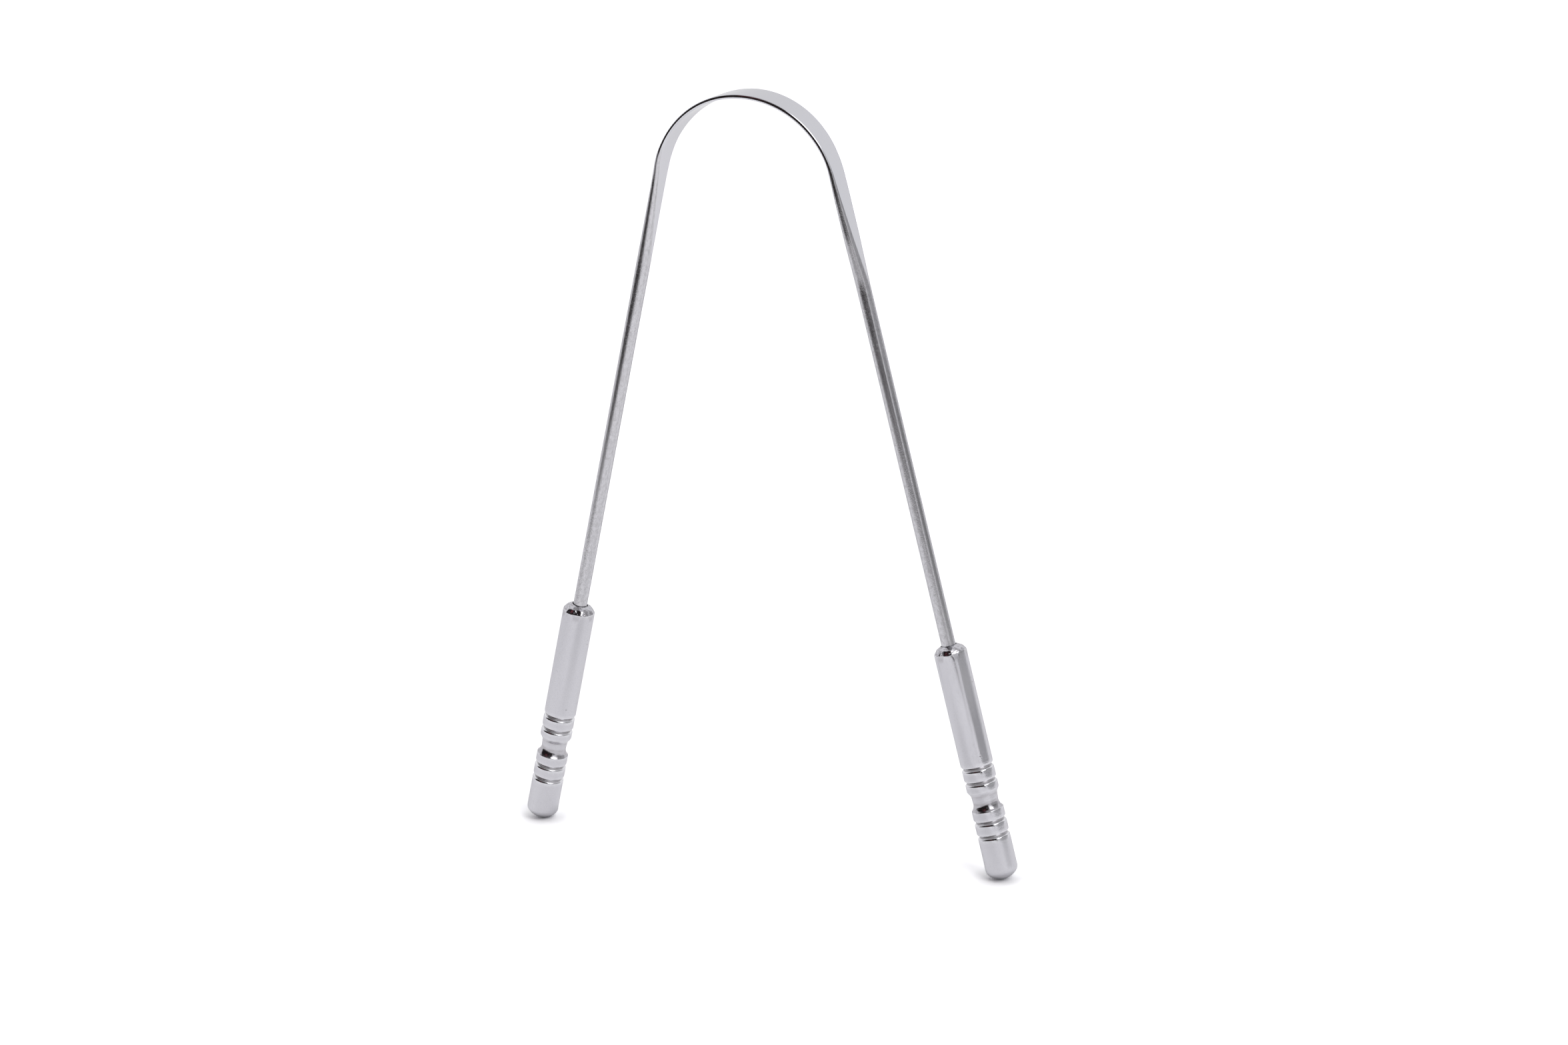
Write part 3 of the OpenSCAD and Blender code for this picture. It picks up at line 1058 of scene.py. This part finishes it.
@dataclass
class TurnedGrip:
    """A grip: a turned outline carried round its axis, with crimp flats pressed into its top.

    Attributes:
        sizes: The grip's sizes.
        bow: The bow's sizes, which place it.
        finish: Its finish.
        around: Points round the axis.
        tip_turn: Angle about the crown's centre at which the outline begins, in radians.
        crown_steps: Points along the crown.
        blend_steps: Points along the blend into the side.
        flare_steps: Points along the flare below the waist.
        tip_r: Radius that the outline ends with, at the bore's floor.
        side_l: Longest side of the outline.
        fine_side_l: Longest side of the outline about the crimp flats.
        fine_share: How far below the rim it is fine, as a share of the flats' length.
        flat_facing: Least cosine between a point's direction and that of its crimp flat.
        low_from: How far below the rings steel counts as low.
        low_over: Depth over which it comes to count in full.
        rim_clear: Length below the rim that doesn't count as turned.
        crimp_from: How far below the rim the crimped mask begins, as a share of the flats' length.
        crimp_over: Length over which it rises, as such a share.
        pressed_depth: Depth from which a crimp flat counts in full as pressed.
        edge_turn: Turn of the outline that counts in full as an outer corner, in degrees.
        corner_turn: The same for an inner corner.
        corners_from_z: Height from which corners count.
    """

    sizes: GripSizes
    bow: BowSizes
    finish: GripFinish = field(default_factory=GripFinish)
    around: int = 240
    tip_turn: float = 0.04
    crown_steps: int = 12
    blend_steps: int = 9
    flare_steps: int = 14
    tip_r: float = 0.02 * MM
    side_l: float = 0.6 * MM
    fine_side_l: float = 0.07 * MM
    fine_share: float = 1.3
    flat_facing: float = 0.5
    low_from: float = 0.02 * MM
    low_over: float = 0.12 * MM
    rim_clear: float = 0.2 * MM
    crimp_from: float = 0.1
    crimp_over: float = 0.2
    pressed_depth: float = 0.012 * MM
    edge_turn: float = 8.0
    corner_turn: float = 12.0
    corners_from_z: float = 4 * MM

    @property
    def crest_z(self) -> float:
        """Height of the crest below the waist."""
        g = self.sizes
        return g.end_l + g.ring_pitch + g.crest_ring_l

    def crown(self) -> list[Corner]:
        """The crowned foot: an arc about the axis, blended into the side by a smaller arc.

        The arcs meet where the sine of the turn is (R - b) / (C - b), for ring radius R, crown
        radius C and blend radius b, so that they have one direction there.

        Returns:
            Corners of the outline, from the tip to the side, none of them to be rounded.
        """
        g = self.sizes
        inner, outer = g.ring_r - g.crown_blend_r, g.crown_r - g.crown_blend_r
        meet = math.asin(inner / outer)
        big = np.linspace(self.tip_turn, meet, self.crown_steps)
        small = np.linspace(meet, math.pi / 2, self.blend_steps)[1:]
        centre_z = g.crown_r - outer * math.cos(meet)
        radii = np.concatenate([g.crown_r * np.sin(big), inner + g.crown_blend_r * np.sin(small)])
        heights = np.concatenate([g.crown_r * (1 - np.cos(big)), centre_z - g.crown_blend_r * np.cos(small)])
        return [(float(r), float(z), 0.0) for r, z in zip(radii, heights)]

    def groove(self, edge_z: float, top_r: float) -> list[Corner]:
        """A groove above a ring: a step in from the ring's edge, a narrow floor and a slope out.

        Args:
            edge_z: Height of the ring's upper edge.
            top_r: Radius above the groove.

        Returns:
            Corners of the outline with their rounding radii.
        """
        g = self.sizes
        floor_r = g.ring_r - g.groove_depth
        step_z = edge_z + g.groove_step_l
        floor_z = step_z + g.groove_floor_l
        top_z = floor_z + g.groove_slope_l
        places = [(g.ring_r, edge_z), (floor_r, step_z), (floor_r, floor_z), (top_r, top_z)]
        return [(r, z, rounding) for (r, z), rounding in zip(places, g.groove_rounds)]

    def waist(self) -> list[Corner]:
        """The waist: a hollow flare from the crest, a narrow stretch and a slope out to the collar.

        A flare of length L and height H that ends along the axis has radius (L^2 + H^2) / (2 H).

        Returns:
            Corners of the outline with their rounding radii.
        """
        g = self.sizes
        crest_z = self.crest_z
        top_z = crest_z + g.waist_l
        slope_z = top_z - g.waist_slope_l
        top_r = g.waist_r + g.waist_top_share * (g.bar_r - g.waist_r)
        rise = g.ring_r - g.waist_r
        radius = (g.flare_l**2 + rise**2) / (2 * rise)
        turns = math.asin(g.flare_l / radius) * np.linspace(1, 0, self.flare_steps)[1:]
        hollow_r = g.waist_r + radius * (1 - np.cos(turns))
        hollow_z = crest_z + g.flare_l - radius * np.sin(turns)
        crest_round, waist_round, collar_round = g.waist_rounds
        hollow_arc = [(float(r), float(z), 0.0) for r, z in zip(hollow_r, hollow_z)]
        return [(g.ring_r, crest_z, crest_round), *hollow_arc, (top_r, slope_z, waist_round),
                (g.ring_r, top_z, collar_round)]

    def outline(self) -> Array:
        """The whole outline, from the tip of the foot over the rim and down into the bore.

        It goes through the corners of the crown, the grooves, the waist and the top in order,
        then has them rounded and its long sides split.

        Returns:
            Radius and height of each point.
        """
        g = self.sizes
        collar_z = self.crest_z + g.waist_l + g.collar_l
        bore_z = g.length - g.bore_l
        corners = self.crown()
        for edge_z in (g.end_l, g.end_l + g.ring_pitch):
            corners += self.groove(edge_z, g.ring_r)
        corners += self.waist()
        corners += self.groove(collar_z, g.ring_r)
        corners += self.groove(collar_z + g.ring_pitch, g.bar_r)
        rim_round, shoulder_round, mouth_round = g.top_rounds
        mouth_z = g.length - g.mouth_l
        corners += [(g.bar_r, g.rim_z, rim_round),
                    (g.bar_r - g.top_shoulder_in, g.rim_z + g.top_shoulder_h, shoulder_round),
                    (g.mouth_r, g.length, mouth_round), (g.mouth_r, mouth_z, 0.0), (g.bore_r, mouth_z, 0.0),
                    (g.bore_r, bore_z, 0.0), (self.tip_r, bore_z - g.drill_point, 0.0)]
        return divided(rounded(corners), self.side_l, g.rim_z - self.fine_share * g.crimp_l, self.fine_side_l)

    def crimped(self, radii: Array, heights: Array, angles: Array, side: Side) -> Array:
        """Presses the crimp flats in. A flat at distance d from the axis caps the radius at d / cos.

        Args:
            radii: Radius of each outline point.
            heights: Height of each outline point.
            angles: Angles round the axis.
            side: Which grip, because the two are mirror images.

        Returns:
            Radius of each point, as outline points by angles.
        """
        g = self.sizes
        grid = radii[:, None] * np.ones((1, len(angles)))
        outer = np.arange(len(radii)) <= int(np.argmax(heights))
        count = len(g.crimp_shares)
        first = g.crimp_turn if side is Side.RIGHT else math.pi - g.crimp_turn
        above = heights - g.rim_z
        slant = g.top_shoulder_in / g.top_shoulder_h
        for i, share in enumerate(g.crimp_shares):
            facing = np.cos(angles - first - side.value * i * math.tau / count)[None, :]
            bar_d = g.bar_r - g.crimp_depth * share * (1 + above / (g.crimp_l * share))
            top_d = g.bar_r - g.top_flat_depth * share * math.hypot(1, slant) - above * slant
            cap = np.minimum(bar_d, top_d)[:, None] / np.maximum(facing, self.flat_facing)
            reached = (facing > self.flat_facing) & (outer & (above > -g.crimp_l * share))[:, None]
            grid = np.minimum(grid, np.where(reached, cap, np.inf))
        return grid

    def masks(self, radii: Array, heights: Array, grid: Array) -> dict[str, Array]:
        """Shares from 0 to 1 that tell the finish what each point is.

        Args:
            radii: Radius of each outline point, before the crimping.
            heights: Height of each outline point.
            grid: Radius of each point after it, as outline points by angles.

        Returns:
            The shares by name, as outline points by angles.
        """
        g = self.sizes
        low = np.clip((g.ring_r - self.low_from - radii) / self.low_over, 0, 1)
        outside = np.arange(len(radii)) <= int(np.argmax(heights))
        on_bar = outside & (heights > g.end_l) & (heights < g.rim_z - self.rim_clear)
        off_waist = (heights < self.crest_z) | (heights > self.crest_z + g.waist_l + g.collar_l / 2)
        # outer corners, which the finish gives a painted highlight
        edge, corner = self.corners(radii, heights)
        crimp = (heights - g.rim_z + self.crimp_from * g.crimp_l) / (self.crimp_over * g.crimp_l)
        # corner_share: inner corners, which the finish darkens with painted shade
        shares = {"turned_share": low * on_bar, "groove_share": low * on_bar * off_waist,
                  "edge_share": edge, "corner_share": corner, "crimp_share": np.clip(crimp, 0, 1)}
        pressed = np.clip((radii[:, None] - grid) / self.pressed_depth, 0, 1)
        return {name: share[:, None] * np.ones_like(grid) for name, share in shares.items()} | {
            "pressed_share": pressed * (heights < g.rim_z)[:, None]}

    def build(self, side: Side, material: bpy.types.Material) -> bpy.types.Object:
        """Draws a grip where the frame has it, by carrying its outline round the axis.

        At an angle, a point of the outline lies at its radius times the cosine and the sine.

        Args:
            side: Which grip.
            material: The grips' material.

        Returns:
            The grip, riding on its arm's body.
        """
        radii, heights = self.outline().T
        angles = np.arange(self.around) * math.tau / self.around
        grid = self.crimped(radii, heights, angles, side)
        own = np.stack([grid * np.cos(angles), grid * np.sin(angles), heights[:, None] * np.ones_like(grid)],
                       axis=-1)
        ends = self.placed(np.array([[0, 0, 0], [0, 0, heights[-1]]]), side)
        values = {"own_place": own, **self.masks(radii, heights, grid)}
        piece = skin(f"{side.word}_turned_grip", self.placed(own, side), ends, values, sharp_ends=False)
        piece.data.materials.append(material)
        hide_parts(f"{side.word}_grip")
        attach(piece, f"{side.word}_handle")
        return piece

    def placed(self, own: Array, side: Side) -> Array:
        """Puts points of the grip's own frame, tip at zero and axis up, on its arm.

        Args:
            own: Points in the grip's own frame.
            side: Which grip.

        Returns:
            The points in the row frame.
        """
        lean = -side.value * self.bow.lean
        foot_x, foot_z = self.bow.foot
        x = own[..., 0] * math.cos(lean) + own[..., 2] * math.sin(lean) + side.value * foot_x
        z = own[..., 2] * math.cos(lean) - own[..., 0] * math.sin(lean) + foot_z
        return np.stack([x, own[..., 1], z], axis=-1)

    def corners(self, radii: Array, heights: Array) -> tuple[Array, Array]:
        """How much each outline point is an outer or an inner corner: its turn, from 0 to 1.

        Args:
            radii: Radius of each point.
            heights: Height of each point.

        Returns:
            The shares of outer and of inner corner at each point.
        """
        slope = np.unwrap(np.arctan2(np.diff(heights), np.diff(radii)))
        turn = np.zeros(len(radii))
        turn[1:-1] = np.diff(slope)
        outer = np.clip(turn / math.radians(self.edge_turn), 0, 1)
        inner = np.clip(-turn / math.radians(self.corner_turn), 0, 1)
        counts = heights > self.corners_from_z
        return outer * counts, inner * counts


def sheet(name: str, material_name: str, corners: list[Point]) -> tuple[bpy.types.Object, Graph]:
    """A flat face with a material of its own.

    Args:
        name: Name of the object and its mesh.
        material_name: Name of the material.
        corners: The face's corners in order.

    Returns:
        The object, and the graph of its material.
    """
    mesh = bpy.data.meshes.new(name)
    mesh.from_pydata(corners, [], [tuple(range(len(corners)))])
    piece = bpy.data.objects.new(name, mesh)
    bpy.context.scene.collection.objects.link(piece)
    material = bpy.data.materials.new(material_name)
    material.use_nodes = True
    mesh.materials.append(material)
    return piece, Graph(material.node_tree)


@dataclass(frozen=True)
class Panel:
    """A stretch of the studio's wall or ceiling, as seen from the object, with soft edges.

    Attributes:
        left: Azimuth of its left edge in degrees from the front (-Y), positive towards +X.
        right: Azimuth of its right edge.
        low: Elevation of its lower edge in degrees.
        high: Elevation of its upper edge.
        soft: Width of its soft edges in degrees.
        colour: Its light.
    """

    left: float
    right: float
    low: float
    high: float
    soft: float
    colour: Colour


@dataclass(frozen=True)
class Studio:
    """A white sweep with a grey right side and a dark room in front, lit by one tall soft lamp.

    Attributes:
        wall: Light of the sweep.
        panels: What stands before the sweep, the last on top.
        floor_outline: Corners of the floor, seen from above.
        paper_scale: Features of the floor's paper to a metre.
        paper_detail: How many finer layers they have.
        paper_span: Where in their noise the paper's tint changes.
        paper_tints: The two tints.
        gain_near: How much brighter the camera sees the floor by the object, so that it comes out white.
        gain_far: The same farther off, where the lamp gives less.
        gain_span: Distances from the middle over which the one becomes the other.
        foot_x: How far either foot's painted shadow on the floor lies from the middle.
        foot_y: How far it lies behind the middle.
        painted_shadow_gain: How much brighter the camera sees the floor right by a foot. Lower than
            gain_near, it paints a shadow there.
        foot_span: Distances from a foot over which that gives way.
        gloss_dip: Where the steel mirrors the floor darkest.
        gloss_low: Light that the steel mirrors of the floor there, above what falls on it.
        gloss_high: The same all round.
        gloss_span: Distances from the dip over which the one becomes the other.
        foot_gloss_span: Distances from a foot over which that light sets in, so that the steel mirrors a
            painted shadow round each foot.
        card_place: Middle of the grey card that stands near the right grip.
        card_width: Its width, along Y.
        card_height: Its height.
        card_light: Its light.
        card_foot_light: Its light along its lower edge.
        lamp_azimuth: Direction of the lamp in degrees from the front, positive towards +X.
        lamp_elevation: Its height in degrees above the horizon.
        lamp_distance: How far it stands from the object.
        lamp_width: Its width.
        lamp_height: Its height from edge to edge.
        lamp_power: Its power in watts.
        lamp_aim_z: Height of the point that it is aimed at.
    """

    wall: Colour = (0.96, 0.96, 0.975)
    panels: tuple[Panel, ...] = (
        Panel(-200, 200, 72, 120, 12, GREY),
        Panel(60, 138, -45, 58, 12, GREY),
        Panel(-76, 36, -10, 68, 12, DARK),
        Panel(-80, 47, -45, 10, 7, DARK),
        Panel(-34, -8, 40, 52, 6, DARK_RED),
    )
    floor_outline: tuple[Span, ...] = (
        (-3.0, -0.5), (-0.42, -0.19), (-0.13, -0.235), (0.08, -0.42), (0.3, -0.75), (0.7, -0.62), (1.0, -0.5),
        (0.45, -0.1), (0.38, 0.42), (3.0, 1.4), (3.0, 3.0), (-3.0, 3.0))
    paper_scale: float = 600.0
    paper_detail: float = 4.0
    paper_span: Span = (0.3, 0.7)
    paper_tints: tuple[Colour, Colour] = ((0.92, 0.92, 0.93), (0.95, 0.95, 0.955))
    gain_near: float = 1.84
    gain_far: float = 2.1
    gain_span: Span = (0.1, 0.4)
    foot_x: float = 46.5 * MM
    foot_y: float = 1.3 * MM
    painted_shadow_gain: float = 1.4
    foot_span: Span = (2.5 * MM, 6.5 * MM)
    gloss_dip: Point = (0.02, -0.05, 0.0)
    gloss_low: float = 0.20
    gloss_high: float = 0.36
    gloss_span: Span = (0.015, 0.06)
    foot_gloss_span: Span = (1 * MM, 7 * MM)
    card_place: Point = (0.15, 0.003, 0.068)
    card_width: float = 0.11
    card_height: float = 0.068
    card_light: float = 0.28
    card_foot_light: float = 0.62
    lamp_azimuth: float = 60.0
    lamp_elevation: float = 47.0
    lamp_distance: float = 0.9
    lamp_width: float = 0.5
    lamp_height: float = 0.52
    lamp_power: float = 1.8
    lamp_aim_z: float = 0.07

    def light(self) -> None:
        """Builds the world: the sweep with its panels, and plain white where the camera looks.

        The azimuth is the arc tangent of x over -y and the elevation the arc sine of z. A panel
        covers what lies between its edges both ways, with a smooth step at each edge.
        """
        world = bpy.data.worlds.new("studio")
        world.use_nodes = True
        bpy.context.scene.world = world
        graph = Graph(world.node_tree)
        towards = graph.add("ShaderNodeTexCoord").outputs["Generated"]
        x, y, z = graph.add("ShaderNodeSeparateXYZ", {0: towards}).outputs
        azimuth = graph.math("DEGREES", graph.math("ARCTAN2", x, graph.times(y, -1.0)))
        elevation = graph.math("DEGREES", graph.math("ARCSINE", z))
        colour: Socket | Cover = rgba(self.wall)
        rising, falling = (0.0, 1.0), (1.0, 0.0)
        for panel in self.panels:
            cover: Value = 1.0
            for angle, edge, step in ((azimuth, panel.left, rising), (azimuth, panel.right, falling),
                                      (elevation, panel.low, rising), (elevation, panel.high, falling)):
                passed = graph.ramp(angle, edge - panel.soft / 2, edge + panel.soft / 2, *step)
                cover = graph.times(cover, passed)
            colour = graph.tint(cover, colour, rgba(panel.colour))
        colour = graph.tint(graph.add("ShaderNodeLightPath").outputs["Is Camera Ray"], colour, rgba(WHITE))
        background = graph.add("ShaderNodeBackground", {"Color": colour, "Strength": 1.0})
        graph.add("ShaderNodeOutputWorld", {"Surface": background.outputs[0]})

    def hang_lamp(self) -> None:
        """Hangs the soft lamp and points it at the middle of the object."""
        lamp = bpy.data.lights.new("soft_lamp", "AREA")
        lamp.shape = "RECTANGLE"
        lamp.size = self.lamp_width
        lamp.size_y = self.lamp_height
        lamp.energy = self.lamp_power
        holder = bpy.data.objects.new("soft_lamp", lamp)
        az, el = math.radians(self.lamp_azimuth), math.radians(self.lamp_elevation)
        towards = Vector((math.sin(az) * math.cos(el), -math.cos(az) * math.cos(el), math.sin(el)))
        holder.location = Vector((0, 0, self.lamp_aim_z)) + towards * self.lamp_distance
        holder.rotation_euler = (-towards).to_track_quat("-Z", "Y").to_euler()
        bpy.context.scene.collection.objects.link(holder)

    def lay_floor(self) -> None:
        """Lays the floor: white to the camera, but darker where the object keeps light off it, and with a
        painted shadow round each foot.

        The distance from a foot is the root of the squares of how far a place lies beside and behind it. The
        camera's gain and the light that the steel mirrors both change with it, dropping near a foot to paint
        that shadow.
        """
        floor, graph = sheet("floor", "white_floor", [(x, y, 0.0) for x, y in self.floor_outline])
        place = graph.add("ShaderNodeTexCoord").outputs["Object"]
        x, y, _ = graph.add("ShaderNodeSeparateXYZ", {0: place}).outputs
        beside = graph.math("SUBTRACT", graph.math("ABSOLUTE", x), self.foot_x)
        behind = graph.math("SUBTRACT", y, self.foot_y)
        from_foot = graph.math("SQRT", graph.plus(graph.times(beside, beside), behind, behind))
        path = graph.add("ShaderNodeLightPath")

        paper = graph.noise(place, self.paper_scale, self.paper_detail)
        colour = graph.tint(graph.ramp(paper, *self.paper_span), *map(rgba, self.paper_tints))
        off = graph.add("ShaderNodeVectorMath", {0: place}, operation="LENGTH").outputs["Value"]
        # painted shadow: the camera's gain drops round each foot
        near = graph.ramp(from_foot, *self.foot_span, self.painted_shadow_gain, self.gain_near)
        shown_gain = graph.ramp(off, *self.gain_span, near, self.gain_far)
        gain = graph.blend(path.outputs["Is Camera Ray"], 1.0, shown_gain)
        shown = graph.add("ShaderNodeVectorMath", {0: colour, "Scale": gain}, operation="SCALE").outputs[0]
        matt = graph.add("ShaderNodeBsdfDiffuse", {"Color": shown})

        to_dip = graph.add("ShaderNodeVectorMath", {0: place, 1: self.gloss_dip}, operation="DISTANCE")
        gloss = graph.ramp(to_dip.outputs["Value"], *self.gloss_span, self.gloss_low, self.gloss_high)
        # painted shadow in the mirrored floor: its light drops round each foot
        gloss = graph.times(gloss, graph.ramp(from_foot, *self.foot_gloss_span))
        seen = graph.times(path.outputs["Is Glossy Ray"], gloss)
        lit = graph.add("ShaderNodeEmission", {"Color": rgba(WHITE), "Strength": seen})
        both = graph.add("ShaderNodeAddShader", {0: matt.outputs[0], 1: lit.outputs[0]})
        graph.add("ShaderNodeOutputMaterial", {"Surface": both.outputs[0]})

    def stand_card(self) -> None:
        """Stands the grey card on the right. Only the steel mirrors it; nothing else sees it."""
        x, y, z = self.card_place
        across, up = self.card_width / 2, self.card_height / 2
        corners = [(x, y - across, z - up), (x, y - across, z + up), (x, y + across, z + up),
                   (x, y + across, z - up)]
        card, graph = sheet("grey_card", "grey_card", corners)
        place = graph.add("ShaderNodeTexCoord").outputs["Object"]
        level = graph.add("ShaderNodeSeparateXYZ", {0: place}).outputs[2]
        light = graph.ramp(level, z - up, z, self.card_foot_light, self.card_light)
        lit = graph.add("ShaderNodeEmission", {"Color": rgba(WHITE), "Strength": light})
        mirrored = graph.add("ShaderNodeLightPath").outputs["Is Glossy Ray"]
        clear = graph.add("ShaderNodeBsdfTransparent")
        both = graph.add("ShaderNodeMixShader", {0: mirrored, 1: clear.outputs[0], 2: lit.outputs[0]})
        graph.add("ShaderNodeOutputMaterial", {"Surface": both.outputs[0]})

    def build(self) -> None:
        """Sets up the world, the lamp, the floor and the card."""
        bpy.context.scene.view_settings.view_transform = "Standard"
        self.light()
        self.hang_lamp()
        self.lay_floor()
        self.stand_card()


@dataclass(frozen=True)
class PhotoCamera:
    """The photograph's camera, worked out from the bow's outline, the rings and the rims.

    Attributes:
        place: Where it stands.
        azimuth: How far it looks to the left of +Y, in degrees, as it stands to the right.
        elevation: How far it looks down, in degrees.
        roll: Its turn about its own axis, in degrees.
        focal_px: Focal length in pixels of the photograph.
        width_px: Width of the photograph.
        sensor_mm: Width of the sensor.
        clip: Nearest and farthest that it sees.
    """

    place: Point = (0.30065, -0.63087, 0.25467)
    azimuth: float = 25.093
    elevation: float = 15.401
    roll: float = -1.429
    focal_px: float = 6000.0
    width_px: float = 2352.0
    sensor_mm: float = 36.0
    clip: Span = (0.01, 20.0)

    def build(self) -> None:
        """Creates the camera and makes it the scene's own."""
        az, el, roll = (math.radians(angle) for angle in (self.azimuth, self.elevation, self.roll))
        ahead = Vector((-math.sin(az) * math.cos(el), math.cos(az) * math.cos(el), -math.sin(el)))
        level = Vector((math.cos(az), math.sin(az), 0))
        up = level.cross(ahead)
        right = math.cos(roll) * level + math.sin(roll) * up
        upward = -math.sin(roll) * level + math.cos(roll) * up
        turn = Matrix((right, upward, -ahead)).transposed().to_4x4()
        data = bpy.data.cameras.new("photo_camera")
        data.sensor_fit = "HORIZONTAL"
        data.sensor_width = self.sensor_mm
        data.lens = self.focal_px / self.width_px * self.sensor_mm
        data.clip_start, data.clip_end = self.clip
        holder = bpy.data.objects.new("photo_camera", data)
        holder.matrix_world = Matrix.Translation(self.place) @ turn
        bpy.context.scene.collection.objects.link(holder)
        bpy.context.scene.camera = holder


def main() -> None:
    """Builds the bow, the grips, the studio and the camera."""
    logging.basicConfig(level=logging.INFO, format="%(name)s: %(message)s")
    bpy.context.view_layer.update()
    effects = SteelEffects()
    bow_sizes, grip_sizes = BowSizes(), GripSizes()
    for piece in WireBow(bow_sizes, grip_sizes).build(effects):
        LOG.info("%s: %d faces", piece.name, len(piece.data.polygons))
    grips = TurnedGrip(grip_sizes, bow_sizes)
    grip_material = grips.finish.build(effects)
    for side in Side:
        piece = grips.build(side, grip_material)
        LOG.info("%s: %d faces", piece.name, len(piece.data.polygons))
    Studio().build()
    PhotoCamera().build()


if __name__ == "__main__":
    main()
